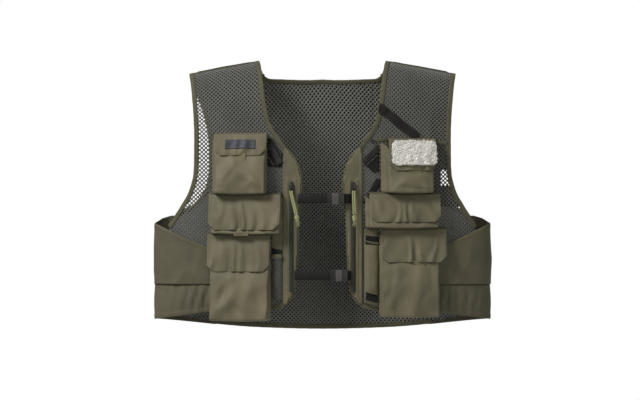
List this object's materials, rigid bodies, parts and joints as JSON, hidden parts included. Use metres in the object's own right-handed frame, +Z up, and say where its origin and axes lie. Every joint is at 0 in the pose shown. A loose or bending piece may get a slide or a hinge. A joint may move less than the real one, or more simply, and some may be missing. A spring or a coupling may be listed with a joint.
{
  "type": "fishing vest",
  "caption": "Open-front mesh vest with flap pockets on both fronts, zipped plackets, buckled straps, fleece fly patch and solid side panels.",
  "frame": {"origin": "middle of the hang loop at the back of the neck", "axes": "+X towards the wearer's left, +Z up, the front faces -Y"},
  "size_m": [0.6446, 0.1746, 0.5191],
  "materials": {
    "mesh_fabric": "knotted polyester mesh, matt",
    "shell_fabric": "olive ripstop nylon with a faint sheen",
    "binding_tape": "ribbed bias tape",
    "fleece": "curly pile",
    "webbing": "ribbed polyester webbing",
    "buckle_plastic": "moulded acetal, satin",
    "zip_coil": "nylon coil on woven tape",
    "zip_metal": "coated die casting, satin",
    "pull_cord": "braided polyester cord",
    "label_cloth": "woven label"
  },
  "bodies": {
    "vest": {"armhole_binding_left": "binding_tape", "armhole_binding_right": "binding_tape", "back_cargo_panel": "shell_fabric", "back_mesh": "mesh_fabric", "back_yoke": "shell_fabric", "chest_buckle_socket": "buckle_plastic", "chest_strap_left": "webbing", "chest_strap_right": "webbing", "collar_binding": "binding_tape", "front_mesh_left": "mesh_fabric", "front_mesh_right": "mesh_fabric", "hang_loop": "webbing", "hem_binding": "binding_tape", "mesh_pouch_right": "mesh_fabric", "placket_left": "shell_fabric", "placket_right": "shell_fabric", "pocket_lower_left": "shell_fabric", "pocket_lower_right": "shell_fabric", "pocket_middle_left": "shell_fabric", "pocket_middle_right": "shell_fabric", "pocket_top_left": "shell_fabric", "pocket_top_right": "shell_fabric", "shoulder_strap_left": "webbing", "side_band_left": "shell_fabric", "side_band_right": "shell_fabric", "side_panel_left": "shell_fabric", "side_panel_right": "shell_fabric", "tool_dock_left": "webbing", "tool_dock_right": "webbing", "tool_sleeve_left": "shell_fabric", "waist_buckle_socket": "buckle_plastic", "waist_strap_left": "webbing", "waist_strap_right": "webbing", "zip_chain_left": "zip_coil", "zip_chain_right": "zip_coil"},
    "top_flap_left": {"flap_top_left": "shell_fabric", "tab_top_left": "shell_fabric", "fleece_patch": "fleece"},
    "middle_flap_left": {"flap_middle_left": "shell_fabric", "tab_middle_left": "shell_fabric"},
    "lower_flap_left": {"flap_lower_left": "shell_fabric", "tab_lower_left": "shell_fabric"},
    "zip_pull_left": {"zip_slider_left": "zip_metal", "pull_cord_left_inner": "pull_cord", "pull_cord_left_outer": "pull_cord", "pull_knot_left": "pull_cord"},
    "top_flap_right": {"flap_top_right": "shell_fabric", "tab_top_right": "shell_fabric", "label_patch": "label_cloth"},
    "middle_flap_right": {"flap_middle_right": "shell_fabric", "tab_middle_right": "shell_fabric"},
    "lower_flap_right": {"flap_lower_right": "shell_fabric", "tab_lower_right": "shell_fabric"},
    "zip_pull_right": {"zip_slider_right": "zip_metal", "pull_cord_right_inner": "pull_cord", "pull_cord_right_outer": "pull_cord", "pull_knot_right": "pull_cord"},
    "chest_plug": {"chest_buckle_plug": "buckle_plastic"},
    "waist_plug": {"waist_buckle_plug": "buckle_plastic"}
  },
  "joints": [
    {"name": "top_flap_left_hinge", "type": "hinge", "parent": "vest", "child": "top_flap_left", "pos_m": [0.17085, -0.13484, -0.09725], "axis": [-0.991, -0.1338, 0], "range_deg": [0, 105]},
    {"name": "middle_flap_left_hinge", "type": "hinge", "parent": "vest", "child": "middle_flap_left", "pos_m": [0.15648, -0.13678, -0.19925], "axis": [-0.991, -0.1338, 0], "range_deg": [0, 75]},
    {"name": "lower_flap_left_hinge", "type": "hinge", "parent": "vest", "child": "lower_flap_left", "pos_m": [0.17283, -0.13457, -0.26525], "axis": [-0.991, -0.1338, 0], "range_deg": [0, 75]},
    {"name": "left_zip_slide", "type": "slide", "parent": "vest", "child": "zip_pull_left", "axis": [0, 0, -1], "range_m": [0, 0.19]},
    {"name": "top_flap_right_hinge", "type": "hinge", "parent": "vest", "child": "top_flap_right", "pos_m": [-0.15598, -0.13685, -0.08725], "axis": [-0.991, 0.1338, 0], "range_deg": [0, 150]},
    {"name": "middle_flap_right_hinge", "type": "hinge", "parent": "vest", "child": "middle_flap_right", "pos_m": [-0.14756, -0.13799, -0.20025], "axis": [-0.991, 0.1338, 0], "range_deg": [0, 75]},
    {"name": "lower_flap_right_hinge", "type": "hinge", "parent": "vest", "child": "lower_flap_right", "pos_m": [-0.15945, -0.13638, -0.27625], "axis": [-0.991, 0.1338, 0], "range_deg": [0, 55]},
    {"name": "right_zip_slide", "type": "slide", "parent": "vest", "child": "zip_pull_right", "axis": [0, 0, -1], "range_m": [0, 0.19]},
    {"name": "chest_buckle_slide", "type": "slide", "parent": "vest", "child": "chest_plug", "axis": [-1, 0, 0], "range_m": [0, 0.018]},
    {"name": "waist_buckle_slide", "type": "slide", "parent": "vest", "child": "waist_plug", "axis": [-1, 0, 0], "range_m": [0, 0.018]}
  ]
}
